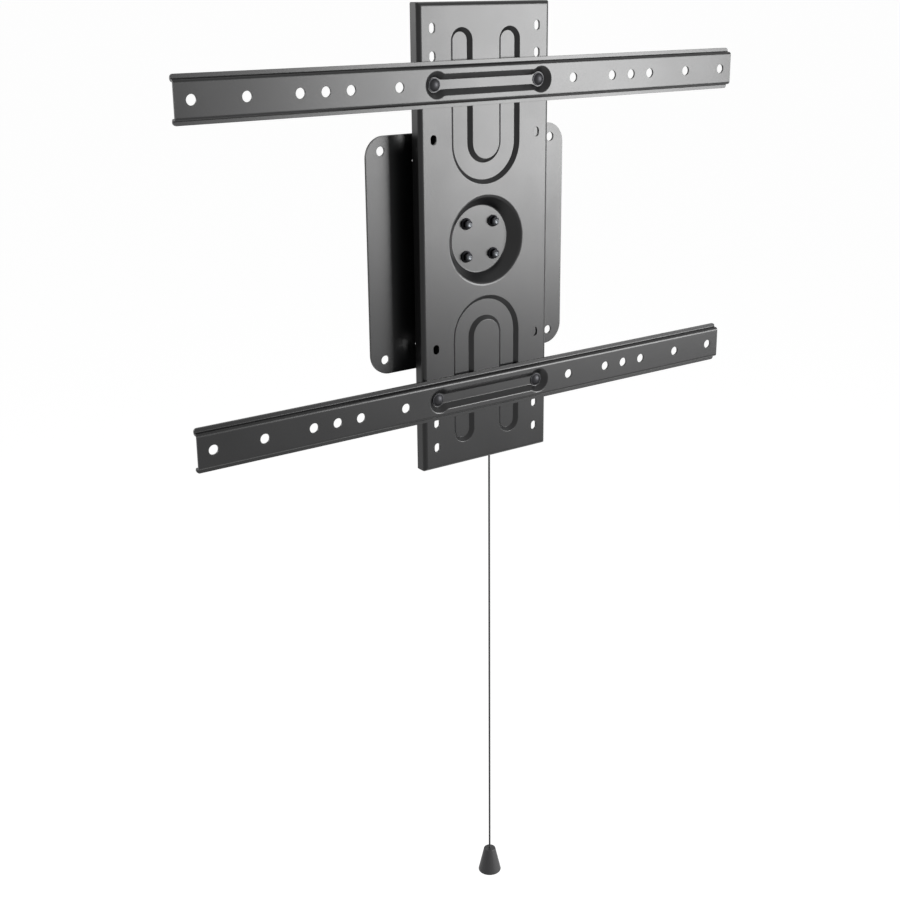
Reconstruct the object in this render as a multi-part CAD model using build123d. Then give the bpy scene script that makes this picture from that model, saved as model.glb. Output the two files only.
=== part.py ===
from build123d import *
import math
import os

# Everything is drawn as seen from the front: x to the right, y up, z out from the wall.
# The origin is the centre of the four wall holes, on the wall. UPRIGHT turns y up into +Z.
UPRIGHT = Rot(90, 0, 0)
level_tolerance = 0.001

# Wall plate, flat on the wall
plate_w = 232.0
plate_h = 228.0
plate_t = 2.5
plate_corner_r = 20.0
wall_pitch = 200.0
wall_hole_d = 9.0
pilot_pitch_x = 128.0
pilot_pitch_y = 178.0
pilot_d = 3.0

# Raised boss of the wall plate: a round part and a pad for the latch below it
boss_rise = 6.0
boss_draft_run = 3.0
boss_fillet = 1.5
pad_margin = 8.0
pad_rim = 10.0
pad_join_r = 8.0

# Turning axis, above the plate's centre
axis_y = 10.0
turn_angle = 90.0

# Bearing stack, from the boss out to the tower
run_gap = 0.05
disc_t = 3.0
disc_r = 48.0
cup_floor_t = 1.0
cup_wall_t = 2.9
ring_t = 1.0
ring_side_gap = 0.15
retainer_t = 2.0
hub_t = 4.45
hub_rim = 4.9
hub_bore_r = 8.0
bore_margin = 3.0

# Spacers and rivets round the disc: the first two are the stops of the turn
spacer_r = 4.5
rivet_r = 2.5
rivet_head_r = 3.8
rivet_head_h = 2.2
rivet_margin = 0.2
hole_play = 0.1
stop_angles = (30.0, 150.0)
other_spacer_angles = (195.0, 240.0, 300.0, 345.0)
stop_gap = 0.3
lug_overlap = 1.5

# Latch
latch_travel = 6.0
notch_depth = 5.5
notch_play = 0.25
nose_half_w = 6.0
nose_rest_gap = 1.0
nose_chamfer = 1.5
nose_length = 11.0
nose_way_play = 1.5
slide_t = 3.0
slide_half_w = 22.0
slide_corner_r = 4.0
slide_gap = 0.3
slide_bridge = 8.0
slide_foot = 6.0
guide_x = 14.0
guide_drop = 12.0
guide_r = 3.0
guide_play = 0.1
guide_end_play = 0.3
guide_head_r = 5.5
guide_head_h = 2.0
guide_tail_r = 2.0
window_half_w = 5.0
window_end_play = 2.0
seat_half_w = 3.5
seat_t = 2.0
seat_proud = 1.0
spring_length = 20.0
spring_coil_r = 2.6
spring_wire_r = 0.4
spring_turns = 6.0
spring_end_gap = 0.05
lance_play = 0.6

# Pin, ferrule, cord and pull
ear_x = 16.0
ear_half_w = 6.0
ear_drop = 7.0
ear_rim = 3.5
pin_r = 1.6
pin_play = 0.15
pin_head_r = 3.0
pin_head_h = 1.2
pin_tail_h = 1.0
eye_gap = 0.1
eye_t = 2.2
eye_r = 3.4
ferrule_r = 2.5
ferrule_l = 12.0
neck_l = 2.0
cord_r = 1.0
cord_low_y = -694.0
pull_top_r = 6.4
pull_low_r = 12.8
pull_h = 28.0
pull_wall = 1.8
pull_roof_t = 3.0
pull_hole_play = 0.2
pull_edge_r = 0.8
knot_r = 2.6

# Tower plate, a folded pan
tower_w = 150.5
tower_h = 445.0
tower_t = 2.5
tower_depth = 13.0
tower_corner_r = 6.0
tower_bend_r = 4.0
tower_slot_w = 6.6
tower_slot_h = 9.4
tower_slot_x = 60.0
tower_slot_rows = (100.0, 175.0, 200.0)

# Dish and beads pressed into the tower plate
dish_floor_margin = 4.6
dish_wall_run = 9.4
dish_depth = 11.5
dish_rim_fillet = 4.0
dish_floor_fillet = 1.2
bead_half_pitch = 27.5
bead_half_w = 12.0
bead_wall_run = 4.0
bead_depth = 3.4
bead_arc_y = 94.0
bead_leg_y = 188.0
bead_fillet = 0.8

# Rails
rail_length = 630.0
rail_web_h = 33.4
rail_h = 41.6
rail_t = 2.0
rail_depth = 7.0
rail_bend_r = 2.0
rail_lip_corner_r = 3.0
rail_y = 150.0
rail_hole_d = 9.4
rail_hole_xs = (100.0, 150.0, 175.0, 200.0, 250.0, 300.0)
bone_end_r = 12.2
bone_waist_half_h = 9.5
bone_wall_run = 5.1
bone_join_r = 4.0
bone_rim_fillet = 1.6
bone_floor_fillet = 0.6

# Fasteners: M5 throughout
screw_r = 2.5
screw_hole_play = 0.2
bolt_head_r = 6.4
bolt_head_h = 3.1
neck_half = 2.6
neck_h = 3.3
neck_hole_half = 2.8
washer_r = 7.5
washer_t = 1.2
nut_flat = 8.0
nut_h = 5.0
nut_flange_r = 5.9
nut_flange_h = 1.2
nut_bore_play = 0.05
thread_end = 2.0
thread_chamfer = 0.6
stud_pitch = 32.0
stud_head_r = 4.2
stud_head_h = 2.0

# Levels out from the wall, worked out from the sizes above
boss_z = plate_t + boss_rise
cup_floor_z = boss_z + cup_floor_t
disc_back_z = cup_floor_z + run_gap
disc_front_z = disc_back_z + disc_t
ring_back_z = disc_front_z + run_gap
retainer_z = ring_back_z + ring_t
retainer_front_z = retainer_z + retainer_t
dish_back_z = disc_front_z + hub_t
dish_floor_z = dish_back_z + tower_t
tower_face_z = dish_floor_z + dish_depth
tower_back_z = tower_face_z - tower_t
tower_edge_z = tower_face_z - tower_depth
rail_front_z = tower_face_z + rail_depth
bone_floor_z = tower_face_z + rail_t
slide_back_z = boss_z + slide_gap
slide_front_z = slide_back_z + slide_t
guide_head_z = slide_front_z + slide_gap
eye_back_z = slide_front_z + eye_gap
eye_front_z = eye_back_z + eye_t
cord_z = eye_back_z + eye_t / 2

# Radii about the turning axis
cup_inner_r = disc_r + run_gap
cup_outer_r = cup_inner_r + cup_wall_t
spacer_circle_r = cup_outer_r + run_gap + spacer_r
lug_reach = spacer_circle_r + lug_overlap
retainer_r = spacer_circle_r + rivet_head_r + rivet_margin + plate_t
stud_circle_r = stud_pitch / math.sqrt(2)
hub_r = stud_circle_r + screw_r + hub_rim
boss_opening_r = hub_r
cup_bore_r = boss_opening_r + bore_margin
dish_floor_r = stud_circle_r + nut_flange_r + dish_floor_margin
dish_rim_r = dish_floor_r + dish_wall_run

# Heights of the latch, from the disc's rim down
nose_tip_y = axis_y - disc_r - nose_rest_gap
slide_top_y = nose_tip_y - nose_length
guide_y = slide_top_y - guide_drop
window_top_y = slide_top_y - slide_bridge
seat_y = window_top_y - spring_length
window_low_y = seat_y - seat_t - latch_travel - window_end_play
slide_bottom_y = window_low_y - slide_foot
pad_half_w = slide_half_w + pad_margin
pad_bottom_y = seat_y - seat_t - pad_rim
ear_hole_y = slide_bottom_y - ear_drop
ferrule_top_y = ear_hole_y - eye_r - neck_l
cord_top_y = ferrule_top_y - ferrule_l


def polar(radius, degrees):
    angle = math.radians(degrees)
    return radius * math.cos(angle), axis_y + radius * math.sin(angle)


def at(x, y, z=0.0):
    return Pos(x, y, z)


def disc(x, y, low, high, radius):
    return at(x, y, (low + high) / 2) * Cylinder(radius, high - low)


def block(x_low, x_high, y_low, y_high, z_low, z_high):
    centre = at((x_low + x_high) / 2, (y_low + y_high) / 2, (z_low + z_high) / 2)
    return centre * Box(x_high - x_low, y_high - y_low, z_high - z_low)


def slab(outline, low, high):
    return extrude(at(0, 0, low) * outline, amount=high - low)


def drafted(outline, low, grow_low, high, grow_high):
    """Solid between two sizes of one outline, at two levels."""
    return loft([at(0, 0, low) * outline(grow_low), at(0, 0, high) * outline(grow_high)])


def edges_at(shape, level, inside):
    """Edges lying in one level whose every end is inside the region."""
    flat = shape.edges().filter_by_position(Axis.Z, level - level_tolerance, level + level_tolerance)
    return flat.filter_by(lambda e: all(inside(v.X, v.Y) for v in (e @ 0, e @ 0.5, e @ 1)))


def pressed(sheet, outline, rim_z, depth, wall_run, thickness):
    """Press a form into a sheet of even thickness, its walls drawn in by wall_run at the floor."""
    back_grow = thickness * (math.hypot(wall_run, depth) - wall_run) / depth
    back_z = rim_z - thickness
    skin = drafted(outline, back_z, back_grow, back_z - depth, back_grow - wall_run)
    hollow = drafted(outline, rim_z, 0, rim_z - depth, -wall_run)
    return sheet + skin - hollow


# Outlines


def boss_outline(grow):
    pad_height = axis_y - pad_bottom_y + grow
    pad = at(0, axis_y - pad_height / 2) * Rectangle(2 * (pad_half_w + grow), pad_height)
    outline = at(0, axis_y) * Circle(retainer_r + grow) + pad
    inner_corners = outline.vertices().filter_by(lambda v: v.Y > pad_bottom_y + pad_rim)
    return fillet(inner_corners, pad_join_r - grow)


def bead_outline(grow):
    """U outline with the legs up: an arc below and two legs with round ends."""
    half_w = bead_half_w + grow
    arc = Circle(bead_half_pitch + half_w) - Circle(bead_half_pitch - half_w)
    above_h = bead_half_pitch + half_w
    outline = arc - at(0, above_h / 2) * Rectangle(2 * above_h, above_h)
    leg_length = bead_leg_y - bead_arc_y
    for x in (-bead_half_pitch, bead_half_pitch):
        outline += at(x, leg_length / 2) * Rectangle(2 * half_w, leg_length)
        outline += at(x, leg_length) * Circle(half_w)
    return at(0, bead_arc_y) * outline


def bone_outline(grow):
    """Dog-bone: a straight waist with a larger round end at each bolt."""
    outline = Rectangle(2 * tower_slot_x, 2 * (bone_waist_half_h + grow))
    for x in (-tower_slot_x, tower_slot_x):
        outline += at(x, 0) * Circle(bone_end_r + grow)
    joins = outline.vertices().filter_by(lambda v: abs(v.X) < tower_slot_x - bone_waist_half_h / 2)
    return fillet(joins, bone_join_r - grow)


# Wall body


def wall_plate():
    outline = RectangleRounded(plate_w, plate_h, plate_corner_r)
    plate = slab(outline, 0, plate_t)
    raised = drafted(boss_outline, 0, boss_draft_run, boss_z, 0)
    hollow = drafted(boss_outline, 0, boss_draft_run - plate_t, boss_rise, -plate_t)
    plate = plate + raised - hollow
    rim = edges_at(plate, boss_z, lambda x, y: True)
    plate = fillet(rim, boss_fillet)
    plate -= disc(0, axis_y, 0, boss_z, boss_opening_r)
    for x in (-1, 1):
        for y in (-1, 1):
            plate -= disc(x * wall_pitch / 2, y * wall_pitch / 2, 0, plate_t, wall_hole_d / 2)
            plate -= disc(x * pilot_pitch_x / 2, y * pilot_pitch_y / 2, 0, plate_t, pilot_d / 2)
        plate -= disc(x * guide_x, guide_y, 0, boss_z, guide_tail_r + hole_play)
    for angle in stop_angles + other_spacer_angles:
        plate -= disc(*polar(spacer_circle_r, angle), 0, boss_z, rivet_r + hole_play)
    lance_half_w = spring_coil_r + spring_wire_r + lance_play
    plate -= block(-lance_half_w, lance_half_w, seat_y, window_top_y + latch_travel, 0, boss_z)
    seat_front_z = slide_front_z + seat_proud
    plate += block(-seat_half_w, seat_half_w, seat_y - seat_t, seat_y, boss_rise, seat_front_z)
    return plate


def bearing_cup():
    """Moulded cup: floor and rim wall, open at the top for the lug and below for the nose."""
    cup = disc(0, axis_y, boss_z, cup_floor_z, cup_outer_r)
    wall = disc(0, axis_y, cup_floor_z, retainer_z, cup_outer_r)
    wall -= disc(0, axis_y, cup_floor_z, retainer_z, cup_inner_r)
    wall -= sector(*stop_angles)
    cup = cup + wall - disc(0, axis_y, boss_z, cup_floor_z, cup_bore_r)
    half_w = nose_half_w + nose_way_play
    way_top_y = nose_tip_y + latch_travel + nose_way_play
    return cup - block(-half_w, half_w, axis_y - 2 * cup_outer_r, way_top_y, boss_z, retainer_z)


def sector(start, end):
    """Wedge between two directions, used to open the cup's wall."""
    reach = 2 * cup_outer_r
    corners = [(0, axis_y), polar(reach, start), polar(reach, (start + end) / 2), polar(reach, end)]
    return slab(make_face(Polyline(*corners, close=True)), cup_floor_z, retainer_z)


def flat_ring(low, high, outer_r, inner_r):
    return disc(0, axis_y, low, high, outer_r) - disc(0, axis_y, low, high, inner_r)


def bearing_ring():
    return flat_ring(ring_back_z, retainer_z, disc_r - ring_side_gap, cup_bore_r)


def retaining_ring():
    ring = flat_ring(retainer_z, retainer_front_z, retainer_r, cup_bore_r)
    for angle in stop_angles + other_spacer_angles:
        x, y = polar(spacer_circle_r, angle)
        ring -= disc(x, y, retainer_z, retainer_front_z, rivet_r + hole_play)
    return ring


def ring_spacers():
    sleeves = []
    for angle in stop_angles + other_spacer_angles:
        x, y = polar(spacer_circle_r, angle)
        sleeve = disc(x, y, boss_z, retainer_z, spacer_r)
        sleeves.append(sleeve - disc(x, y, boss_z, retainer_z, rivet_r + hole_play))
    return Compound(sleeves)


def dome(x, y, seat_z, radius, height):
    """Round head on a seat; a negative height points to the wall."""
    ball_r = (radius**2 + height**2) / (2 * abs(height))
    centre_z = seat_z + height - math.copysign(ball_r, height)
    low, high = sorted((seat_z, seat_z + height))
    return at(x, y, centre_z) * Sphere(ball_r) & disc(x, y, low, high, radius)


def ring_rivets():
    rivets = []
    for angle in stop_angles + other_spacer_angles:
        x, y = polar(spacer_circle_r, angle)
        shank = disc(x, y, boss_rise, retainer_front_z, rivet_r)
        front = dome(x, y, retainer_front_z, rivet_head_r, rivet_head_h)
        rivets.append(shank + front + dome(x, y, boss_rise, rivet_head_r, -rivet_head_h))
    return Compound(rivets)


def guide_rivets():
    rivets = []
    for x in (-guide_x, guide_x):
        shoulder = disc(x, guide_y, boss_z, guide_head_z, guide_r)
        tail = disc(x, guide_y, boss_rise, boss_z, guide_tail_r)
        head = disc(x, guide_y, guide_head_z, guide_head_z + guide_head_h, guide_head_r)
        upset = dome(x, guide_y, boss_rise, rivet_head_r, -rivet_head_h)
        rivets.append(shoulder + tail + head + upset)
    return Compound(rivets)


def latch_spring():
    """Compression spring between the lanced seat and the top of the slide's window."""
    low = seat_y + spring_wire_r + spring_end_gap
    length = window_top_y - spring_wire_r - spring_end_gap - low
    path = Helix(pitch=length / spring_turns, height=length, radius=spring_coil_r)
    section = Plane(origin=path @ 0, z_dir=path % 0) * Circle(spring_wire_r)
    coil = sweep(section, path=path)
    return at(0, low, slide_back_z + slide_t / 2) * Rot(-90, 0, 0) * coil


# Tower body


def index_disc():
    plate = disc(0, axis_y, disc_back_z, disc_front_z, disc_r)
    for direction in (270, 270 + turn_angle):
        half_w = nose_half_w + notch_play
        notch = block(disc_r - notch_depth, lug_reach, -half_w, half_w, disc_back_z, disc_front_z)
        plate -= at(0, axis_y) * Rot(0, 0, direction) * notch
    stop_span = stop_angles[1] - stop_angles[0]
    spare = math.radians((stop_span - turn_angle) / 2)
    half_w = spacer_circle_r * math.sin(spare) - spacer_r - stop_gap
    lug = block(hub_r, lug_reach, -half_w, half_w, disc_back_z, disc_front_z)
    lug_angle = sum(stop_angles) / 2 + turn_angle / 2
    plate += at(0, axis_y) * Rot(0, 0, lug_angle) * lug
    plate -= disc(0, axis_y, disc_back_z, disc_front_z, hub_bore_r)
    for x, y in stud_places():
        plate -= disc(x, y, disc_back_z, disc_front_z, screw_r + hole_play)
    return plate


def stud_places():
    return [(x * stud_pitch / 2, axis_y + y * stud_pitch / 2) for x in (-1, 1) for y in (-1, 1)]


def hub_spacer():
    hub = flat_ring(disc_front_z, dish_back_z, hub_r, hub_bore_r)
    for x, y in stud_places():
        hub -= disc(x, y, disc_front_z, dish_back_z, screw_r + screw_hole_play)
    return hub


def threaded_end(x, y, low, tip):
    """Plain shank with a chamfered tip; the tip may point either way."""
    start, end = sorted((low, tip))
    shank = disc(x, y, start, end, screw_r)
    rim = edges_at(shank, tip, lambda px, py: True)
    return chamfer(rim, thread_chamfer)


def hub_studs():
    tip_z = dish_floor_z + nut_h + thread_end
    studs = []
    for x, y in stud_places():
        head = disc(x, y, disc_back_z - stud_head_h, disc_back_z, stud_head_r)
        studs.append(head + threaded_end(x, y, disc_back_z, tip_z))
    return Compound(studs)


def flange_nut(x, y, seat_z, direction):
    """Hexagon nut with a round flange on its seat; direction is +1 out, -1 to the wall."""
    hexagon = RegularPolygon(nut_flat / 2, 6, major_radius=False)
    low, high = sorted((seat_z, seat_z + direction * nut_h))
    body = at(x, y) * slab(hexagon, low, high)
    low, high = sorted((seat_z, seat_z + direction * nut_flange_h))
    body += disc(x, y, low, high, nut_flange_r)
    body &= dome(x, y, seat_z, nut_flange_r, direction * (nut_h + nut_flange_h))
    low, high = sorted((seat_z, seat_z + direction * nut_h))
    return body - disc(x, y, low, high, screw_r + nut_bore_play)


def dish_nuts():
    return Compound([flange_nut(x, y, dish_floor_z, 1) for x, y in stud_places()])


def tray(inset, front_z):
    """Solid as deep as the pan, rounded at its corners and round its front."""
    outline = RectangleRounded(tower_w - 2 * inset, tower_h - 2 * inset, tower_corner_r - inset)
    body = slab(outline, tower_edge_z, front_z)
    return fillet(edges_at(body, front_z, lambda x, y: True), tower_bend_r - inset)


def tower_plate():
    """Drawn pan with two beads, the dish and rows of upright slots for the rails' bolts."""
    pan = tray(0, tower_face_z) - tray(tower_t, tower_back_z)
    for _ in range(2):
        pan = pressed(pan, bead_outline, tower_face_z, bead_depth, bead_wall_run, tower_t)
        pan = Rot(0, 0, 180) * pan
    pan = pressed(pan, dish_outline, tower_face_z, dish_depth, dish_wall_run, tower_t)
    pan = fillet(edges_at(pan, tower_face_z, in_dish), dish_rim_fillet)
    pan = fillet(edges_at(pan, dish_floor_z, in_dish), dish_floor_fillet)
    pan = fillet(edges_at(pan, tower_face_z, in_beads), bead_fillet)
    slot = slab(SlotOverall(tower_slot_h, tower_slot_w, rotation=90), tower_back_z, tower_face_z)
    for x in (-tower_slot_x, tower_slot_x):
        for row in tower_slot_rows + (rail_y,):
            pan = pan - at(x, row) * slot - at(x, -row) * slot
    for x, y in stud_places():
        pan -= disc(x, y - axis_y, dish_back_z, dish_floor_z, screw_r + screw_hole_play)
    return at(0, axis_y) * pan


def dish_outline(grow):
    return Circle(dish_rim_r + grow)


def in_dish(x, y):
    return math.hypot(x, y) < dish_rim_r + tower_t


def in_beads(x, y):
    return not in_dish(x, y) and abs(x) < bead_half_pitch + bead_half_w + tower_t and abs(y) < (
        bead_leg_y + bead_half_w + tower_t
    )


def rail():
    """Hat section with a row of holes and a dog-bone recess for its two bolts."""
    lip_z = tower_face_z + rail_t / 2
    web_z = rail_front_z - rail_t / 2
    wall_y = (rail_web_h - rail_t) / 2
    corners = [(-rail_h / 2, lip_z), (-wall_y, lip_z), (-wall_y, web_z)]
    corners += [(-y, z) for y, z in reversed(corners)]
    centre_line = FilletPolyline(*corners, radius=rail_bend_r)
    section = Plane.YZ * trace(centre_line, rail_t)
    bar = extrude(section, amount=rail_length / 2, both=True)
    lip_corners = bar.edges().filter_by(Axis.Z).filter_by(lambda e: abs((e @ 0).Y) > rail_web_h / 2)
    bar = fillet(lip_corners, rail_lip_corner_r)
    bone_depth = rail_front_z - bone_floor_z
    bar = pressed(bar, bone_outline, rail_front_z, bone_depth, bone_wall_run, rail_t)
    bar = fillet(edges_at(bar, rail_front_z, in_bone), bone_rim_fillet)
    bar = fillet(edges_at(bar, bone_floor_z, in_bone), bone_floor_fillet)
    for side in (-1, 1):
        for x in rail_hole_xs:
            bar -= disc(side * x, 0, web_z - rail_t, rail_front_z, rail_hole_d / 2)
        x = side * tower_slot_x
        bar -= block(
            x - neck_hole_half, x + neck_hole_half, -neck_hole_half, neck_hole_half,
            tower_face_z, bone_floor_z,
        )
    return bar


def in_bone(x, y):
    return abs(x) < tower_slot_x + bone_end_r + rail_t and abs(y) < bone_end_r + rail_t / 2


def bolt_places():
    return [(x, axis_y + y) for x in (-tower_slot_x, tower_slot_x) for y in (-rail_y, rail_y)]


def rail_bolts():
    tip_z = tower_back_z - washer_t - nut_h - thread_end
    bolts = []
    for x, y in bolt_places():
        neck = block(
            x - neck_half, x + neck_half, y - neck_half, y + neck_half,
            bone_floor_z - neck_h, bone_floor_z,
        )
        head = dome(x, y, bone_floor_z, bolt_head_r, bolt_head_h)
        bolts.append(head + neck + threaded_end(x, y, bone_floor_z, tip_z))
    return Compound(bolts)


def rail_washers():
    washers = []
    for x, y in bolt_places():
        washer = disc(x, y, tower_back_z - washer_t, tower_back_z, washer_r)
        hole = disc(x, y, tower_back_z - washer_t, tower_back_z, screw_r + screw_hole_play)
        washers.append(washer - hole)
    return Compound(washers)


def rail_nuts():
    return Compound([flange_nut(x, y, tower_back_z - washer_t, -1) for x, y in bolt_places()])


# Latch body


def latch_slide():
    """Sheet slide: nose at the top, two guide slots, the spring's window and an ear."""
    height = slide_top_y - slide_bottom_y
    middle_y = (slide_top_y + slide_bottom_y) / 2
    outline = at(0, middle_y) * RectangleRounded(2 * slide_half_w, height, slide_corner_r)
    nose = at(0, nose_tip_y - nose_length) * Rectangle(2 * nose_half_w, 2 * nose_length)
    tips = nose.vertices().group_by(Axis.Y)[-1]
    outline += chamfer(tips, nose_chamfer)
    ear_low_y = ear_hole_y - pin_r - ear_rim
    ear_h = slide_bottom_y + slide_corner_r - ear_low_y
    outline += at(ear_x, ear_low_y + ear_h / 2) * Rectangle(2 * ear_half_w, ear_h)
    plate = slab(outline, slide_back_z, slide_front_z)
    plate -= block(
        -window_half_w, window_half_w, window_low_y, window_top_y, slide_back_z, slide_front_z
    )
    slot_length = latch_travel + 2 * (guide_r + guide_end_play)
    slot = Rot(0, 0, 90) * SlotOverall(slot_length, 2 * (guide_r + guide_play))
    for x in (-guide_x, guide_x):
        plate -= at(x, guide_y - latch_travel / 2) * slab(slot, slide_back_z, slide_front_z)
    return plate - disc(ear_x, ear_hole_y, slide_back_z, slide_front_z, pin_r + pin_play)


def link_pin():
    """Rivet that holds the ferrule's eye against the slide's ear."""
    shank = disc(ear_x, ear_hole_y, slide_back_z, eye_front_z + eye_gap, pin_r)
    head_z = eye_front_z + eye_gap
    head = disc(ear_x, ear_hole_y, head_z, head_z + pin_head_h, pin_head_r)
    return shank + head + dome(ear_x, ear_hole_y, slide_back_z, pin_head_r, -pin_tail_h)


def upright_rod(y_low, y_high, radius):
    return at(ear_x, (y_low + y_high) / 2, cord_z) * Rot(90, 0, 0) * Cylinder(radius, y_high - y_low)


def cord_ferrule():
    """Flat eye on the pin, with a round sleeve below it for the cord."""
    half_w = ferrule_r / 2
    neck = block(ear_x - half_w, ear_x + half_w, ferrule_top_y, ear_hole_y, eye_back_z, eye_front_z)
    eye = disc(ear_x, ear_hole_y, eye_back_z, eye_front_z, eye_r)
    body = eye + neck + upright_rod(cord_top_y, ferrule_top_y, ferrule_r)
    return body - disc(ear_x, ear_hole_y, eye_back_z, eye_front_z, pin_r + pin_play)


def pull_cord():
    return upright_rod(cord_low_y, cord_top_y, cord_r)


def cord_knot():
    ball = at(ear_x, cord_low_y, cord_z) * Sphere(knot_r)
    return ball & upright_rod(cord_low_y - knot_r, cord_low_y, knot_r)


def pull_tip():
    """Hollow truncated cone that rests on the knot inside it."""
    profile = [
        (cord_r + pull_hole_play, pull_roof_t),
        (pull_top_r, pull_roof_t),
        (pull_low_r, pull_roof_t - pull_h),
        (pull_low_r - pull_wall, pull_roof_t - pull_h),
        (pull_top_r - pull_wall, 0),
        (cord_r + pull_hole_play, 0),
    ]
    cone = revolve(Plane.XZ * make_face(Polyline(*profile, close=True)), Axis.Z)
    rims = edges_at(cone, pull_roof_t, lambda x, y: math.hypot(x, y) > pull_top_r / 2)
    rims += edges_at(cone, pull_roof_t - pull_h, lambda x, y: True)
    cone = fillet(rims, pull_edge_r)
    return at(ear_x, cord_low_y, cord_z) * Rot(-90, 0, 0) * cone


nodes = {
    "wall_plate": wall_plate,
    "bearing_cup": bearing_cup,
    "bearing_ring": bearing_ring,
    "retaining_ring": retaining_ring,
    "ring_spacers": ring_spacers,
    "ring_rivets": ring_rivets,
    "guide_rivets": guide_rivets,
    "latch_spring": latch_spring,
    "index_disc": index_disc,
    "hub_spacer": hub_spacer,
    "hub_studs": hub_studs,
    "dish_nuts": dish_nuts,
    "tower_plate": tower_plate,
    "upper_rail": lambda: at(0, axis_y + rail_y) * rail(),
    "lower_rail": lambda: at(0, axis_y - rail_y) * rail(),
    "rail_bolts": rail_bolts,
    "rail_washers": rail_washers,
    "rail_nuts": rail_nuts,
    "latch_slide": latch_slide,
    "link_pin": link_pin,
    "cord_ferrule": cord_ferrule,
    "pull_cord": pull_cord,
    "cord_knot": cord_knot,
    "pull_tip": pull_tip,
}

os.makedirs("parts", exist_ok=True)
for name, make in nodes.items():
    export_step(UPRIGHT * make(), f"parts/{name}.step")

print(f"pull cord: straight, {cord_top_y - cord_low_y:.1f} mm long, {2 * cord_r:.1f} mm thick")
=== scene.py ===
import math

import bmesh
import bpy
from bpy.props import FloatProperty, FloatVectorProperty, IntProperty, PointerProperty
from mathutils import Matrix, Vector


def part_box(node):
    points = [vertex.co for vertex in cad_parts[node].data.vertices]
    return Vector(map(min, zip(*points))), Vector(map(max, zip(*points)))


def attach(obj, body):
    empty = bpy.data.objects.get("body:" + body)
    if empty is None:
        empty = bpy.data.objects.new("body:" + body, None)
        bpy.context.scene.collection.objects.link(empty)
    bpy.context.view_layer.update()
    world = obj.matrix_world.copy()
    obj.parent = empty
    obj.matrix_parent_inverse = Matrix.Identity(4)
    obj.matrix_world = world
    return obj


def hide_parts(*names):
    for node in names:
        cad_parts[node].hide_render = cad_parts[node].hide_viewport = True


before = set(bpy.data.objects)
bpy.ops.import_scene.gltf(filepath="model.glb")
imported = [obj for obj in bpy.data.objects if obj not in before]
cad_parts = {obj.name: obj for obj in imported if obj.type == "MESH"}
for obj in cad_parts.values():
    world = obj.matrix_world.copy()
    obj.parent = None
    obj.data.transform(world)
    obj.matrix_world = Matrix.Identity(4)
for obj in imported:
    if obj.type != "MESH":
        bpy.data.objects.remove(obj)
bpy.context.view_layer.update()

bl_info = {
    "name": "Rotating screen wall mount",
    "version": (1, 0, 0),
    "blender": (4, 5, 0),
    "location": "3D View > Sidebar > Wall Mount",
    "description": "Finishes, fasteners, pull cord and studio stage for a rotating screen wall mount",
    "category": "Object",
}

MM = 0.001
FULL_TURN = 2 * math.pi

# Edges that fold by more than this angle are drawn sharp
CREASE = math.radians(32)

# A metric thread: its depth and tip chamfer as shares of the pitch, and the rings drawn in one turn
THREAD_DEPTH = 0.6
THREAD_CHAMFER = 0.8
RINGS_PER_TURN = 8


def linear(hex_code):
    """sRGB hex colour to linear red, green, blue and alpha."""
    channels = [int(hex_code[i : i + 2], 16) / 255 for i in (1, 3, 5)]
    curve = [c / 12.92 if c <= 0.04045 else ((c + 0.055) / 1.055) ** 2.4 for c in channels]
    return (*curve, 1.0)


def colour(name, hex_code):
    return FloatVectorProperty(
        name=name, description=f"{name} as a linear colour", subtype="COLOR", size=3, min=0, max=1,
        default=linear(hex_code)[:3],
    )


def toned(tone, share):
    """The same colour darker or lighter, with alpha."""
    return (*[channel * share for channel in tone], 1)


def length(name, description, default):
    return FloatProperty(name=name, description=description, default=default, min=0, unit="LENGTH")


def share_of_one(name, description, default):
    return FloatProperty(name=name, description=description, default=default, min=0, max=1)


def lamp_power(name, description, default):
    return FloatProperty(name=name, description=description, default=default, min=0, unit="POWER")


def position(name, description, default):
    return FloatVectorProperty(
        name=name, description=description, default=default, size=3, subtype="TRANSLATION"
    )


def across_and_up(name, description, default):
    return FloatVectorProperty(name=name, description=description, default=default, size=2)


class SheetMetalSettings(bpy.types.PropertyGroup):
    coat: colour("Powder coat colour", "#0f0f10")
    roughness: share_of_one("Roughness", "Roughness of the satin coat", 0.32)
    peel: length("Orange peel", "Width of one ripple of the coat", 1.8 * MM)
    grain: length("Grain", "Width of one grain of the coat", 0.5 * MM)
    soft_edge: length("Soft edge", "Radius of the coat over a sheared edge", 0.3 * MM)
    corner: length("Tower corner", "Radius of the tower's corners before they are squared", 6.0 * MM)


class FastenerSettings(bpy.types.PropertyGroup):
    oxide: colour("Black oxide colour", "#353537")
    dish_nut: colour("Dish nut colour", "#1d1d1f")
    zinc: colour("Zinc plate colour", "#b4b7bb")
    steel: colour("Stud colour", "#606265")
    pitch: length("Thread pitch", "Pitch of the M5 thread", 0.8 * MM)
    thread_r: length("Thread radius", "Outer radius of the thread", 2.5 * MM)
    flat: length("Nut width", "Width of the nut across its flats", 8.0 * MM)
    flange_r: length("Nut flange", "Radius of the nut's flange", 5.9 * MM)
    head_r: length("Bolt head", "Radius of the domed bolt head", 6.4 * MM)
    head_h: length("Bolt head height", "Height of the domed bolt head", 3.1 * MM)
    neck: length("Square neck", "Width of the square under the bolt head", 5.2 * MM)
    neck_h: length("Neck height", "Height of the square under the bolt head", 3.3 * MM)
    stud_head_r: length("Stud head", "Radius of the stud's hidden head", 4.2 * MM)
    stud_head_h: length("Stud head height", "Height of the stud's hidden head", 2.0 * MM)
    thread_l: length("Thread shown", "Length of thread that is cut turn by turn", 4.0 * MM)
    steps: IntProperty(name="Steps", description="Steps round each fastener", default=60, min=24)


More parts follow.
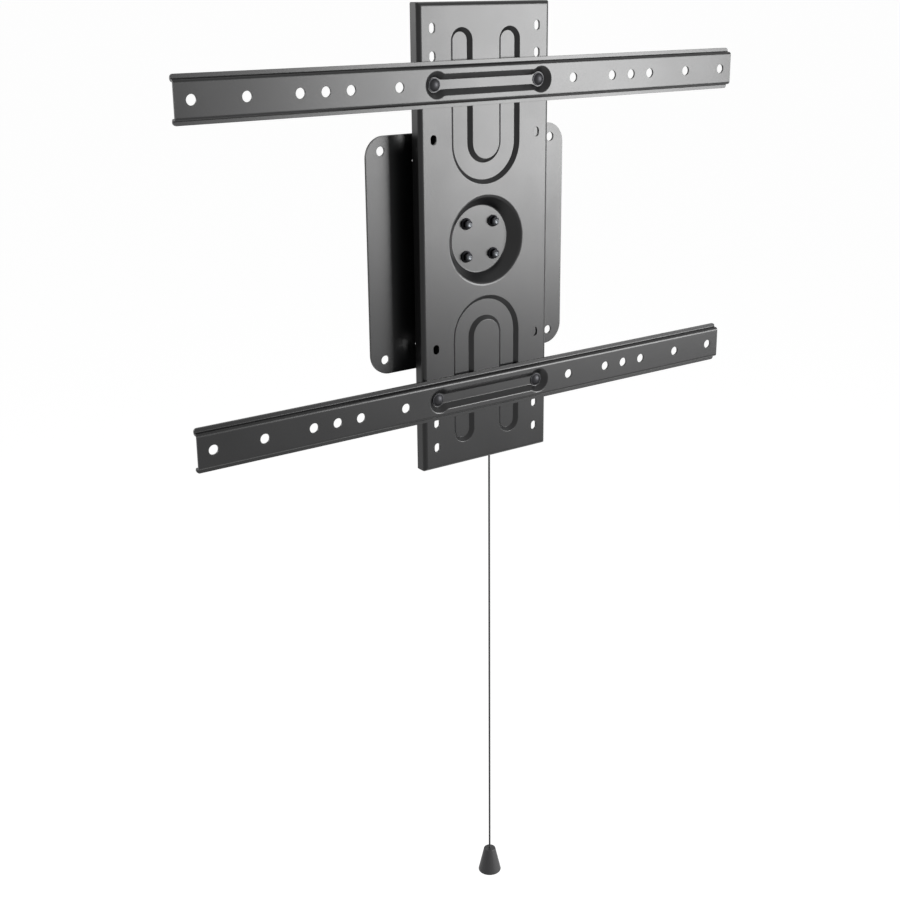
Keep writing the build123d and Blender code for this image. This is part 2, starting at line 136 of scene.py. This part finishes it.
class BearingSettings(bpy.types.PropertyGroup):
    nylon: colour("Nylon colour", "#ddd9cc")
    mottle: length("Mottle", "Width of one patch of the zinc's mottle", 6.0 * MM)


class CordSettings(bpy.types.PropertyGroup):
    yarn: colour("Yarn colour", "#161617")
    pull: colour("Pull colour", "#1e1e20")
    diameter: length("Diameter", "Thickness of the braided cord", 2.0 * MM)
    braid: length("Braid length", "Length of one turn of a braid strand", 7.0 * MM)
    strands: IntProperty(name="Strands", description="Braid strands each way round", default=4, min=2)


class StageSettings(bpy.types.PropertyGroup):
    azimuth: FloatProperty(
        name="Azimuth", description="Direction the camera looks from, to the left of the front",
        subtype="ANGLE", default=math.radians(36.45),
    )
    elevation: FloatProperty(
        name="Elevation", description="How far the camera looks down",
        subtype="ANGLE", default=math.radians(17.35),
    )
    lens: FloatProperty(name="Lens", description="Focal length in millimetres", default=55.575, min=1)
    eye: position("Eye", "Where the camera stands", (-0.7825, -1.1050, 0.2634))
    shift: across_and_up("Shift", "Shift of the frame across and up", (-0.0504, -0.0556))
    floor: colour("Floor colour", "#f2f2f2")
    floor_z: FloatProperty(
        name="Floor height", description="Height of the floor", default=-1.15, unit="LENGTH"
    )
    floor_half: length("Floor reach", "Half the width of the floor", 150.0)
    floor_glow: share_of_one("Floor glow", "Share of the floor that shows no shadow", 0.75)
    floor_level: share_of_one("Floor level", "Brightness of that share to the eye", 0.93)
    front_power: lamp_power("Front lamp", "Power of the front softbox", 66)
    front_place: position("Front lamp place", "Middle of the front softbox", (1.27, -1.54, 0.14))
    front_size: across_and_up("Front lamp size", "Width and height of the front softbox", (0.82, 1.08))
    back_power: lamp_power("Back lamp", "Power of the back softbox", 9)
    back_place: position("Back lamp place", "Middle of the back softbox", (-1.3, 1.6, 0.5))
    back_size: across_and_up("Back lamp size", "Width and height of the back softbox", (0.8, 1.0))
    surround: FloatProperty(
        name="Surround", description="Strength of the light from all round", default=0.25, min=0
    )


# Shared helpers


def add_node(tree, kind, settings, links=None):
    """Add one node, set its properties and inputs, and link its inputs."""
    node = tree.nodes.new(kind)
    for name, value in settings.items():
        if isinstance(name, int) or name in node.inputs:
            node.inputs[name].default_value = value
        else:
            setattr(node, name, value)
    for name, source in (links or {}).items():
        tree.links.new(source, node.inputs[name])
    return node


def new_material(name):
    material = bpy.data.materials.new(name)
    material.use_nodes = True
    return material, material.node_tree, material.node_tree.nodes["Principled BSDF"]


def finish_node(name, material):
    """Give a node of the frame its finish."""
    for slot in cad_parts[name].material_slots:
        slot.material = material


def per_metre(size):
    """Texture scale for a pattern of the given real size."""
    return 1 / size


def new_piece(name, mesh, material, body):
    piece = bpy.data.objects.new(name, mesh)
    bpy.context.scene.collection.objects.link(piece)
    mesh.materials.append(material)
    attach(piece, body)
    return piece


def ring_surface(work, centre, rings, steps, closed):
    """Skin a stack of rings; each is (distance out from the wall, radius by angle)."""
    rows = []
    for out, radius in rings:
        row = []
        for step in range(steps):
            angle = FULL_TURN * step / steps
            r = radius(angle) if callable(radius) else radius
            across, up = r * math.cos(angle), r * math.sin(angle)
            row.append(work.verts.new((centre[0] + across, -out, centre[1] + up)))
        rows.append(row)
    pairs = list(zip(rows, rows[1:]))
    if closed:
        pairs.append((rows[-1], rows[0]))
    for low, high in pairs:
        for step in range(steps):
            after = (step + 1) % steps
            work.faces.new((low[step], low[after], high[after], high[step]))
    if not closed:
        work.faces.new(list(reversed(rows[0])))
        work.faces.new(rows[-1])


def mesh_from(work, name):
    bmesh.ops.recalc_face_normals(work, faces=work.faces)
    for face in work.faces:
        face.smooth = len(face.verts) == 4
    for edge in work.edges:
        edge.smooth = len(edge.link_faces) == 2 and edge.calc_face_angle() < CREASE
    mesh = bpy.data.meshes.new(name)
    work.to_mesh(mesh)
    work.free()
    return mesh


def four_places(node, rim):
    """Centres, across and up, of the four round fasteners of a node of the frame."""
    low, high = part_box(node)
    return [(x, z) for x in (low.x + rim, high.x - rim) for z in (low.z + rim, high.z - rim)]


def thread_rings(start, tip, radius, pitch):
    """Rings of a screw thread that runs out at a chamfered tip; tip may lie either way."""
    way = 1 if tip > start else -1
    depth = THREAD_DEPTH * pitch
    count = int(abs(tip - start) / pitch * RINGS_PER_TURN)
    rings = []
    for index in range(count + 1):
        out = start + (tip - start) * index / count
        runout = abs(tip - out)

        def ridge(angle, out=out, runout=runout):
            place = (out / pitch - way * angle / FULL_TURN) % 1
            wave = abs(2 * place - 1)
            return min(radius - depth * wave, radius - THREAD_CHAMFER * pitch + runout)

        rings.append((out, ridge))
    return rings


# Finishes


def powder_coat(settings):
    """Epoxy-polyester powder coat on folded steel: black, satin, with a faint orange peel."""
    # Baked powder keeps a soft ripple and a fine grain, so highlights are broad and a little uneven.
    material, tree, shader = new_material("satin_powder_coat")
    place = add_node(tree, "ShaderNodeTexCoord", {}).outputs["Object"]
    peel = add_node(
        tree, "ShaderNodeTexNoise", {"Scale": per_metre(settings.peel), "Detail": 2.0},
        {"Vector": place},
    )
    grain = add_node(
        tree, "ShaderNodeTexNoise", {"Scale": per_metre(settings.grain), "Detail": 3.0},
        {"Vector": place},
    )
    patches = add_node(
        tree, "ShaderNodeTexNoise", {"Scale": per_metre(60 * MM), "Detail": 3.0}, {"Vector": place}
    )
    edge = add_node(tree, "ShaderNodeBevel", {"samples": 4, "Radius": settings.soft_edge})
    ripple = add_node(
        tree, "ShaderNodeBump", {"Strength": 0.35, "Distance": 0.04 * MM},
        {"Height": peel.outputs[0], "Normal": edge.outputs[0]},
    )
    texture = add_node(
        tree, "ShaderNodeBump", {"Strength": 0.25, "Distance": 0.02 * MM},
        {"Height": grain.outputs[0], "Normal": ripple.outputs[0]},
    )
    gloss = add_node(
        tree, "ShaderNodeMapRange",
        {"To Min": settings.roughness - 0.04, "To Max": settings.roughness + 0.05},
        {"Value": patches.outputs[0]},
    )
    shade = add_node(
        tree, "ShaderNodeMix",
        {"data_type": "RGBA", 6: toned(settings.coat, 0.85), 7: toned(settings.coat, 1.25)},
        {0: grain.outputs[0]},
    )
    tree.links.new(shade.outputs[2], shader.inputs["Base Color"])
    tree.links.new(gloss.outputs[0], shader.inputs["Roughness"])
    tree.links.new(texture.outputs[0], shader.inputs["Normal"])
    shader.inputs["IOR"].default_value = 1.4
    return material


def black_oxide(oxide):
    """Blackened steel of the bolts and nuts: a dark metal with a thin oily sheen."""
    # The conversion layer is thin, so the turned or rolled surface still shows through it.
    material, tree, shader = new_material("black_oxide_steel")
    place = add_node(tree, "ShaderNodeTexCoord", {}).outputs["Object"]
    stain = add_node(
        tree, "ShaderNodeTexNoise", {"Scale": per_metre(2.5 * MM), "Detail": 5.0}, {"Vector": place}
    )
    shade = add_node(
        tree, "ShaderNodeMix", {"data_type": "RGBA", 6: toned(oxide, 0.75), 7: toned(oxide, 1)},
        {0: stain.outputs[0]},
    )
    gloss = add_node(
        tree, "ShaderNodeMapRange", {"To Min": 0.4, "To Max": 0.55}, {"Value": stain.outputs[0]}
    )
    scratch = add_node(
        tree, "ShaderNodeBump", {"Strength": 0.2, "Distance": 0.02 * MM}, {"Height": stain.outputs[0]}
    )
    tree.links.new(shade.outputs[2], shader.inputs["Base Color"])
    tree.links.new(gloss.outputs[0], shader.inputs["Roughness"])
    tree.links.new(scratch.outputs[0], shader.inputs["Normal"])
    shader.inputs["Metallic"].default_value = 1.0
    return material


def zinc_plate(zinc, mottle, name, rough):
    """Clear zinc plate on pressed or turned steel: pale, slightly blue and softly mottled."""
    # Barrel plating leaves fine rub marks and faint patches where the parts touched.
    material, tree, shader = new_material(name)
    place = add_node(tree, "ShaderNodeTexCoord", {}).outputs["Object"]
    patches = add_node(
        tree, "ShaderNodeTexNoise", {"Scale": per_metre(mottle), "Detail": 4.0}, {"Vector": place}
    )
    rubs = add_node(
        tree, "ShaderNodeTexNoise", {"Scale": per_metre(0.6 * MM), "Detail": 2.0}, {"Vector": place}
    )
    shade = add_node(
        tree, "ShaderNodeMix", {"data_type": "RGBA", 6: toned(zinc, 0.8), 7: toned(zinc, 1)},
        {0: patches.outputs[0]},
    )
    gloss = add_node(
        tree, "ShaderNodeMapRange", {"To Min": rough - 0.06, "To Max": rough + 0.1},
        {"Value": patches.outputs[0]},
    )
    marks = add_node(
        tree, "ShaderNodeBump", {"Strength": 0.15, "Distance": 0.01 * MM}, {"Height": rubs.outputs[0]}
    )
    tree.links.new(shade.outputs[2], shader.inputs["Base Color"])
    tree.links.new(gloss.outputs[0], shader.inputs["Roughness"])
    tree.links.new(marks.outputs[0], shader.inputs["Normal"])
    shader.inputs["Metallic"].default_value = 1.0
    return material


def natural_nylon(settings):
    """Moulded natural nylon of the bearing: off-white, waxy and slightly cloudy."""
    # Light goes a little way into it, so it looks soft at thin rims.
    material, tree, shader = new_material("moulded_natural_nylon")
    place = add_node(tree, "ShaderNodeTexCoord", {}).outputs["Object"]
    cloud = add_node(
        tree, "ShaderNodeTexNoise", {"Scale": per_metre(9 * MM), "Detail": 2.0}, {"Vector": place}
    )
    spark = add_node(
        tree, "ShaderNodeTexNoise", {"Scale": per_metre(0.7 * MM), "Detail": 2.0}, {"Vector": place}
    )
    shade = add_node(
        tree, "ShaderNodeMix",
        {"data_type": "RGBA", 6: toned(settings.nylon, 0.88), 7: toned(settings.nylon, 1)},
        {0: cloud.outputs[0]},
    )
    skin = add_node(
        tree, "ShaderNodeBump", {"Strength": 0.3, "Distance": 0.02 * MM}, {"Height": spark.outputs[0]}
    )
    tree.links.new(shade.outputs[2], shader.inputs["Base Color"])
    tree.links.new(skin.outputs[0], shader.inputs["Normal"])
    shader.inputs["Roughness"].default_value = 0.45
    shader.inputs["IOR"].default_value = 1.53
    shader.inputs["Subsurface Weight"].default_value = 0.15
    shader.inputs["Subsurface Scale"].default_value = 1.5 * MM
    return material


def braided_polyester(settings, centre):
    """Black braided polyester cord: matt, with two crossing sets of strands."""
    # The strands cross in small diamonds; the colour is painted lighter along each strand's top as a
    # highlight and darker in the grooves between the strands as shade.
    material, tree, shader = new_material("braided_polyester")
    place = add_node(tree, "ShaderNodeTexCoord", {}).outputs["Object"]
    split = add_node(tree, "ShaderNodeSeparateXYZ", {}, {"Vector": place})
    across = add_node(
        tree, "ShaderNodeMath", {"operation": "SUBTRACT", 1: centre[0]}, {0: split.outputs[0]}
    )
    depth = add_node(
        tree, "ShaderNodeMath", {"operation": "SUBTRACT", 1: centre[1]}, {0: split.outputs[1]}
    )
    turn = add_node(
        tree, "ShaderNodeMath", {"operation": "ARCTAN2"}, {0: depth.outputs[0], 1: across.outputs[0]}
    )
    around = add_node(
        tree, "ShaderNodeMath", {"operation": "MULTIPLY", 1: settings.strands}, {0: turn.outputs[0]}
    )
    rise = FULL_TURN * settings.strands / settings.braid
    along = add_node(tree, "ShaderNodeMath", {"operation": "MULTIPLY", 1: rise}, {0: split.outputs[2]})
    crossing = []
    for way in ("ADD", "SUBTRACT"):
        phase = add_node(
            tree, "ShaderNodeMath", {"operation": way}, {0: along.outputs[0], 1: around.outputs[0]}
        )
        crossing.append(add_node(tree, "ShaderNodeMath", {"operation": "SINE"}, {0: phase.outputs[0]}))
    top = add_node(
        tree, "ShaderNodeMath", {"operation": "MAXIMUM"},
        {0: crossing[0].outputs[0], 1: crossing[1].outputs[0]},
    )
    height = add_node(tree, "ShaderNodeMapRange", {"From Min": -1.0}, {"Value": top.outputs[0]})
    # Painted highlight and shade: the yarn colour goes from half as bright in the grooves to 1.6 times
    # as bright on the strand tops.
    shade = add_node(
        tree, "ShaderNodeMix",
        {"data_type": "RGBA", 6: toned(settings.yarn, 0.5), 7: toned(settings.yarn, 1.6)},
        {0: height.outputs[0]},
    )
    relief = add_node(
        tree, "ShaderNodeBump", {"Strength": 0.9, "Distance": 0.25 * MM}, {"Height": height.outputs[0]}
    )
    tree.links.new(shade.outputs[2], shader.inputs["Base Color"])
    tree.links.new(relief.outputs[0], shader.inputs["Normal"])
    shader.inputs["Roughness"].default_value = 0.75
    shader.inputs["Sheen Weight"].default_value = 0.25
    shader.inputs["Sheen Roughness"].default_value = 0.5
    return material


def moulded_abs(settings):
    """Black ABS of the pull: moulded with a fine spark texture, low gloss."""
    # The spark texture breaks the highlight into a soft band down the cone.
    material, tree, shader = new_material("moulded_black_abs")
    place = add_node(tree, "ShaderNodeTexCoord", {}).outputs["Object"]
    spark = add_node(
        tree, "ShaderNodeTexNoise", {"Scale": per_metre(0.5 * MM), "Detail": 3.0}, {"Vector": place}
    )
    cloud = add_node(
        tree, "ShaderNodeTexNoise", {"Scale": per_metre(8 * MM), "Detail": 2.0}, {"Vector": place}
    )
    shade = add_node(
        tree, "ShaderNodeMix",
        {"data_type": "RGBA", 6: toned(settings.pull, 0.8), 7: toned(settings.pull, 1)},
        {0: cloud.outputs[0]},
    )
    skin = add_node(
        tree, "ShaderNodeBump", {"Strength": 0.5, "Distance": 0.03 * MM}, {"Height": spark.outputs[0]}
    )
    tree.links.new(shade.outputs[2], shader.inputs["Base Color"])
    tree.links.new(skin.outputs[0], shader.inputs["Normal"])
    shader.inputs["Roughness"].default_value = 0.48
    shader.inputs["IOR"].default_value = 1.53
    return material


# Pieces


class MOUNT_OT_stage(bpy.types.Operator):
    """Set the camera, the pale floor, the white surroundings and the studio lamps"""

    bl_idname = "mount.set_stage"
    bl_label = "Stage"

    def execute(self, context):
        settings = context.scene.mount_stage
        scene = context.scene
        scene.view_settings.view_transform = "Standard"
        camera_data = bpy.data.cameras.new("camera")
        camera_data.lens = settings.lens
        camera_data.shift_x, camera_data.shift_y = settings.shift
        camera_data.clip_start = 10 * MM
        camera = bpy.data.objects.new("camera", camera_data)
        camera.location = settings.eye
        camera.rotation_euler = (math.pi / 2 - settings.elevation, 0, -settings.azimuth)
        scene.collection.objects.link(camera)
        scene.camera = camera

        self.add_lamp(
            scene, "front_softbox", settings.front_place, settings.front_size, settings.front_power
        )
        self.add_lamp(
            scene, "back_softbox", settings.back_place, settings.back_size, settings.back_power
        )

        world = bpy.data.worlds.new("studio")
        scene.world = world
        world.use_nodes = True
        tree = world.node_tree
        tree.nodes.clear()
        seen = self.seen_rays(tree)
        light = add_node(
            tree, "ShaderNodeBackground", {"Color": (1, 1, 1, 1), "Strength": settings.surround}
        )
        shown = add_node(tree, "ShaderNodeBackground", {"Color": (1, 1, 1, 1), "Strength": 1.0})
        mixed = add_node(
            tree, "ShaderNodeMixShader", {}, {0: seen, 1: light.outputs[0], 2: shown.outputs[0]}
        )
        add_node(tree, "ShaderNodeOutputWorld", {}, {"Surface": mixed.outputs[0]})

        half = settings.floor_half
        corners = [(-half, -half), (half, -half), (half, half), (-half, half)]
        mesh = bpy.data.meshes.new("floor")
        mesh.from_pydata([(x, y, settings.floor_z) for x, y in corners], [], [(0, 1, 2, 3)])
        floor = bpy.data.objects.new("floor", mesh)
        scene.collection.objects.link(floor)
        mesh.materials.append(self.floor_finish(settings))
        return {"FINISHED"}

    def seen_rays(self, tree):
        """One for the rays by which the background is seen, directly or in gloss and glass."""
        path = add_node(tree, "ShaderNodeLightPath", {})
        gloss = add_node(
            tree, "ShaderNodeMath", {"operation": "MAXIMUM"},
            {0: path.outputs["Is Camera Ray"], 1: path.outputs["Is Glossy Ray"]},
        )
        seen = add_node(
            tree, "ShaderNodeMath", {"operation": "MAXIMUM"},
            {0: gloss.outputs[0], 1: path.outputs["Is Transmission Ray"]},
        )
        return seen.outputs[0]

    def floor_finish(self, settings):
        """Seamless pale paper: white to the eye, with the shadow kept."""
        material, tree, shader = new_material("pale_paper")
        shader.inputs["Base Color"].default_value = (*settings.floor, 1)
        shader.inputs["Roughness"].default_value = 0.9
        shader.inputs["Specular IOR Level"].default_value = 0.0
        level = settings.floor_level / settings.floor_glow
        strength = add_node(
            tree, "ShaderNodeMath", {"operation": "MULTIPLY", 1: level}, {0: self.seen_rays(tree)}
        )
        glow = add_node(
            tree, "ShaderNodeEmission", {"Color": (1, 1, 1, 1)}, {"Strength": strength.outputs[0]}
        )
        output = tree.nodes["Material Output"]
        mixed = add_node(
            tree, "ShaderNodeMixShader", {0: settings.floor_glow},
            {1: shader.outputs[0], 2: glow.outputs[0]},
        )
        tree.links.new(mixed.outputs[0], output.inputs["Surface"])
        return material

    def add_lamp(self, scene, name, place, size, power):
        lamp_data = bpy.data.lights.new(name, "AREA")
        lamp_data.shape = "RECTANGLE"
        lamp_data.size, lamp_data.size_y = size
        lamp_data.energy = power
        lamp = bpy.data.objects.new(name, lamp_data)
        lamp.location = place
        lamp.rotation_euler = (-Vector(place)).to_track_quat("-Z", "Y").to_euler()
        scene.collection.objects.link(lamp)


class MOUNT_OT_pull_cord(bpy.types.Operator):
    """Make the braided pull cord and finish its knot and its cone-shaped pull"""

    bl_idname = "mount.make_pull_cord"
    bl_label = "Pull cord"

    def execute(self, context):
        settings = context.scene.mount_cord
        low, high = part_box("pull_cord")
        centre = ((low.x + high.x) / 2, (low.y + high.y) / 2)
        curve = bpy.data.curves.new("braided_cord", "CURVE")
        curve.dimensions = "3D"
        curve.bevel_depth = settings.diameter / 2
        curve.bevel_resolution = 4
        curve.use_fill_caps = True
        curve.resolution_u = 4
        lead = 20 * MM
        heights = [high.z, high.z - lead, (high.z + low.z) / 2, low.z + lead, low.z]
        spline = curve.splines.new("NURBS")
        spline.points.add(len(heights) - 1)
        for point, z in zip(spline.points, heights):
            point.co = (*centre, z, 1)
        spline.order_u = 3
        spline.use_endpoint_u = True
        cord = bpy.data.objects.new("braided_cord", curve)
        context.scene.collection.objects.link(cord)
        braid = braided_polyester(settings, centre)
        curve.materials.append(braid)
        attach(cord, "latch")
        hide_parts("pull_cord")
        finish_node("cord_knot", braid)
        finish_node("pull_tip", moulded_abs(settings))
        return {"FINISHED"}


class MOUNT_OT_sheet_metal(bpy.types.Operator):
    """Finish the wall plate and the rails, and make the tower plate with its corners folded square"""

    bl_idname = "mount.make_sheet_metal"
    bl_label = "Sheet metal"

    def execute(self, context):
        settings = context.scene.mount_sheet
        coat = powder_coat(settings)
        for name in ("wall_plate", "upper_rail", "lower_rail"):
            finish_node(name, coat)
        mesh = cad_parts["tower_plate"].data.copy()
        mesh.materials.clear()
        low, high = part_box("tower_plate")
        square_corners(mesh, (low + high) / 2, (high - low) / 2, settings.corner)
        plate = new_piece("folded_tower_plate", mesh, coat, "tower")
        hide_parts("tower_plate")
        return {"FINISHED"}


def square_corners(mesh, centre, half, radius):
    """Draw the four rounded corners of a folded tray out to mitred square ones."""
    inset = (half.x - radius, half.z - radius)
    # A face whose middle lies this close to the mitre belongs to both folds.
    mitre = 0.03 * radius

    def corner_place(place):
        """Place across and up from a corner's centre, and the corner's way across and up."""
        across, up = place.x - centre.x, place.z - centre.z
        ways = (math.copysign(1, across), math.copysign(1, up))
        return (abs(across) - inset[0], abs(up) - inset[1]), ways

    def folded(place, normal, middle):
        """The normal of a fold that runs straight on to the mitre."""
        (across, up), (side, rise) = corner_place(place)
        if min(across, up) <= 0 or abs(middle[0] - middle[1]) < mitre:
            return normal
        outward = (normal.x * side * across + normal.z * rise * up) / math.hypot(across, up)
        if middle[0] > middle[1]:
            return Vector((side * outward, normal.y, 0))
        return Vector((0, normal.y, rise * outward))

    normals = [corner.vector.copy() for corner in mesh.corner_normals]
    for face in mesh.polygons:
        middle, _ = corner_place(face.center)
        for loop in face.loop_indices:
            place = mesh.vertices[mesh.loops[loop].vertex_index].co
            normals[loop] = folded(place, normals[loop], middle)
    for vertex in mesh.vertices:
        (across, up), (side, rise) = corner_place(vertex.co)
        if min(across, up) > 0:
            reach = math.hypot(across, up) / max(across, up) - 1
            vertex.co.x += side * across * reach
            vertex.co.z += rise * up * reach
    mesh.normals_split_custom_set(normals)


class MOUNT_OT_dish_fasteners(bpy.types.Operator):
    """Make the four threaded studs in the dish and their flange nuts"""

    bl_idname = "mount.make_dish_fasteners"
    bl_label = "Dish fasteners"

    def execute(self, context):
        settings = context.scene.mount_fasteners
        places = four_places("dish_nuts", settings.flange_r)
        nuts_low, nuts_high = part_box("dish_nuts")
        work = bmesh.new()
        for place in places:
            add_flange_nut(work, place, -nuts_high.y, -nuts_low.y, settings)
        nuts = new_piece(
            "dish_flange_nuts", mesh_from(work, "dish_flange_nuts"), black_oxide(settings.dish_nut),
            "tower",
        )
        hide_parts("dish_nuts")

        stud_low, stud_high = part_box("hub_studs")
        head_r = settings.stud_head_r
        radius = settings.thread_r
        head_back = -stud_high.y
        head_front = head_back + settings.stud_head_h
        head_chamfer = 0.4 * MM
        tip = -stud_low.y
        rings = [
            (head_back, head_r - head_chamfer), (head_back + head_chamfer, head_r), (head_front, head_r),
            (head_front, radius - THREAD_DEPTH * settings.pitch),
        ]
        rings += thread_rings(tip - settings.thread_l, tip, radius, settings.pitch)
        # The sheared end has a shallow dimple.
        rings += [
            (tip, 0.64 * radius), (tip - 0.25 * MM, 0.5 * radius), (tip - 0.35 * MM, 0.15 * radius),
        ]
        work = bmesh.new()
        for place in places:
            ring_surface(work, place, rings, settings.steps, False)
        studs = new_piece(
            "dish_threaded_studs", mesh_from(work, "dish_threaded_studs"),
            zinc_plate(settings.steel, 2 * MM, "zinc_plated_thread", 0.42), "tower",
        )
        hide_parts("hub_studs")
        return {"FINISHED"}


def add_flange_nut(work, place, seat, top, settings):
    """Hexagon nut with a dished flange and 30 degree corner chamfers; seat and top are levels."""
    way = 1 if top > seat else -1
    height = abs(top - seat)
    half_flat = settings.flat / 2
    bore = settings.thread_r - 0.1 * MM
    crown_r = half_flat * 0.96

    def hexagon(angle):
        return half_flat / math.cos((angle + math.pi / 6) % (math.pi / 3) - math.pi / 6)

    def crowned(drop):
        limit = crown_r + drop / math.tan(math.radians(30))
        return lambda angle: min(hexagon(angle), limit)

    rim = settings.flange_r
    rings = [
        (0, bore), (0, rim - 0.25 * MM), (0.2 * MM, rim), (0.6 * MM, rim), (0.85 * MM, rim - 0.15 * MM),
        (1.15 * MM, half_flat + 0.8 * MM), (1.5 * MM, hexagon), (height - 0.75 * MM, hexagon),
    ]
    rings += [(height - drop * MM, crowned(drop * MM)) for drop in (0.6, 0.45, 0.3, 0.15, 0)]
    rings += [(height, bore + 0.45 * MM), (height - 0.45 * MM, bore)]
    rings = [(seat + way * out, radius) for out, radius in rings]
    ring_surface(work, place, rings, settings.steps, True)


class MOUNT_OT_rail_fasteners(bpy.types.Operator):
    """Make the four domed rail bolts and the nuts behind the tower plate"""

    bl_idname = "mount.make_rail_fasteners"
    bl_label = "Rail fasteners"

    def execute(self, context):
        settings = context.scene.mount_fasteners
        places = four_places("rail_bolts", settings.head_r)
        bolt_low, bolt_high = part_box("rail_bolts")
        crown = -bolt_low.y
        seat = crown - settings.head_h
        tip = -bolt_high.y
        ball_r = (settings.head_r**2 + settings.head_h**2) / (2 * settings.head_h)
        rim_r = settings.head_r
        shank_r = settings.thread_r - 0.05 * MM
        rings = []
        for degrees in (3, 8, 14, 20, 26, 32, 38, 44, 49):
            slope = math.radians(degrees)
            radius = ball_r * math.sin(slope)
            if radius < rim_r - 0.3 * MM:
                rings.append((crown - ball_r * (1 - math.cos(slope)), radius))
        rings += [
            (seat + 0.75 * MM, rim_r - 0.12 * MM), (seat + 0.35 * MM, rim_r), (seat, rim_r - 0.2 * MM),
            (seat, shank_r),
        ]
        thread_start = tip + settings.thread_l
        rings.append((thread_start + 0.5 * MM, shank_r))
        rings += thread_rings(thread_start, tip, settings.thread_r, settings.pitch)
        work = bmesh.new()
        for place in places:
            ring_surface(work, place, rings, settings.steps, False)
            self.add_square_neck(work, place, seat, settings.neck, settings.neck_h)
        bolts = new_piece(
            "domed_rail_bolts", mesh_from(work, "domed_rail_bolts"), black_oxide(settings.oxide),
            "tower",
        )
        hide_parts("rail_bolts")

        zinc = zinc_plate(settings.zinc, 3 * MM, "zinc_plated_nut", 0.32)
        nuts_low, nuts_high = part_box("rail_nuts")
        work = bmesh.new()
        for place in places:
            add_flange_nut(work, place, -nuts_low.y, -nuts_high.y, settings)
        nuts = new_piece(
            "rail_flange_nuts", mesh_from(work, "rail_flange_nuts"), zinc, "tower"
        )
        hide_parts("rail_nuts")
        finish_node("rail_washers", zinc)
        return {"FINISHED"}

    def add_square_neck(self, work, place, seat, width, depth):
        """Square that keeps the bolt from turning, back from the head's seat."""
        middle = Vector((place[0], depth / 2 - seat, place[1]))
        size = Vector((width, depth, width))
        for vert in bmesh.ops.create_cube(work, size=1)["verts"]:
            vert.co = middle + size * vert.co


class MOUNT_OT_bearing(bpy.types.Operator):
    """Finish the turning disc, its nylon bearing and the ring that keeps it"""

    bl_idname = "mount.finish_bearing"
    bl_label = "Bearing"

    def execute(self, context):
        bearing = context.scene.mount_bearing
        zinc = zinc_plate(context.scene.mount_fasteners.zinc, bearing.mottle, "zinc_plated_sheet", 0.34)
        nylon = natural_nylon(bearing)
        for name in ("index_disc", "hub_spacer", "retaining_ring", "ring_spacers", "ring_rivets"):
            finish_node(name, zinc)
        for name in ("bearing_cup", "bearing_ring"):
            finish_node(name, nylon)
        return {"FINISHED"}


class MOUNT_OT_latch(bpy.types.Operator):
    """Finish the latch slide, its guides, spring, pin and ferrule"""

    bl_idname = "mount.finish_latch"
    bl_label = "Latch"

    def execute(self, context):
        plate = context.scene.mount_fasteners.zinc
        zinc = zinc_plate(plate, context.scene.mount_bearing.mottle, "zinc_plated_latch", 0.34)
        wire = zinc_plate(plate, 1.5 * MM, "drawn_spring_wire", 0.24)
        for name in ("latch_slide", "guide_rivets", "link_pin", "cord_ferrule"):
            finish_node(name, zinc)
        finish_node("latch_spring", wire)
        return {"FINISHED"}


class MOUNT_PT_panel(bpy.types.Panel):
    """Sizes, colours and pieces of the wall mount"""

    bl_label = "Wall Mount"
    bl_space_type = "VIEW_3D"
    bl_region_type = "UI"
    bl_category = "Wall Mount"

    def draw(self, context):
        scene = context.scene
        groups = (
            scene.mount_stage, scene.mount_cord, scene.mount_sheet, scene.mount_fasteners,
            scene.mount_bearing,
        )
        for operator in OPERATORS:
            self.layout.operator(operator.bl_idname)
        for group in groups:
            box = self.layout.box()
            for name in group.__annotations__:
                box.prop(group, name)


GROUPS = {
    "mount_stage": StageSettings,
    "mount_cord": CordSettings,
    "mount_sheet": SheetMetalSettings,
    "mount_fasteners": FastenerSettings,
    "mount_bearing": BearingSettings,
}
OPERATORS = (
    MOUNT_OT_stage,
    MOUNT_OT_pull_cord,
    MOUNT_OT_sheet_metal,
    MOUNT_OT_dish_fasteners,
    MOUNT_OT_rail_fasteners,
    MOUNT_OT_bearing,
    MOUNT_OT_latch,
)


def register():
    for cls in (*GROUPS.values(), *OPERATORS, MOUNT_PT_panel):
        bpy.utils.register_class(cls)
    for name, group in GROUPS.items():
        setattr(bpy.types.Scene, name, PointerProperty(type=group))


def unregister():
    for name in GROUPS:
        delattr(bpy.types.Scene, name)
    for cls in reversed((*GROUPS.values(), *OPERATORS, MOUNT_PT_panel)):
        bpy.utils.unregister_class(cls)


def main():
    register()
    bpy.ops.mount.set_stage()
    bpy.ops.mount.make_pull_cord()
    bpy.ops.mount.make_sheet_metal()
    bpy.ops.mount.make_dish_fasteners()
    bpy.ops.mount.make_rail_fasteners()
    bpy.ops.mount.finish_bearing()
    bpy.ops.mount.finish_latch()


if __name__ == "__main__":
    main()
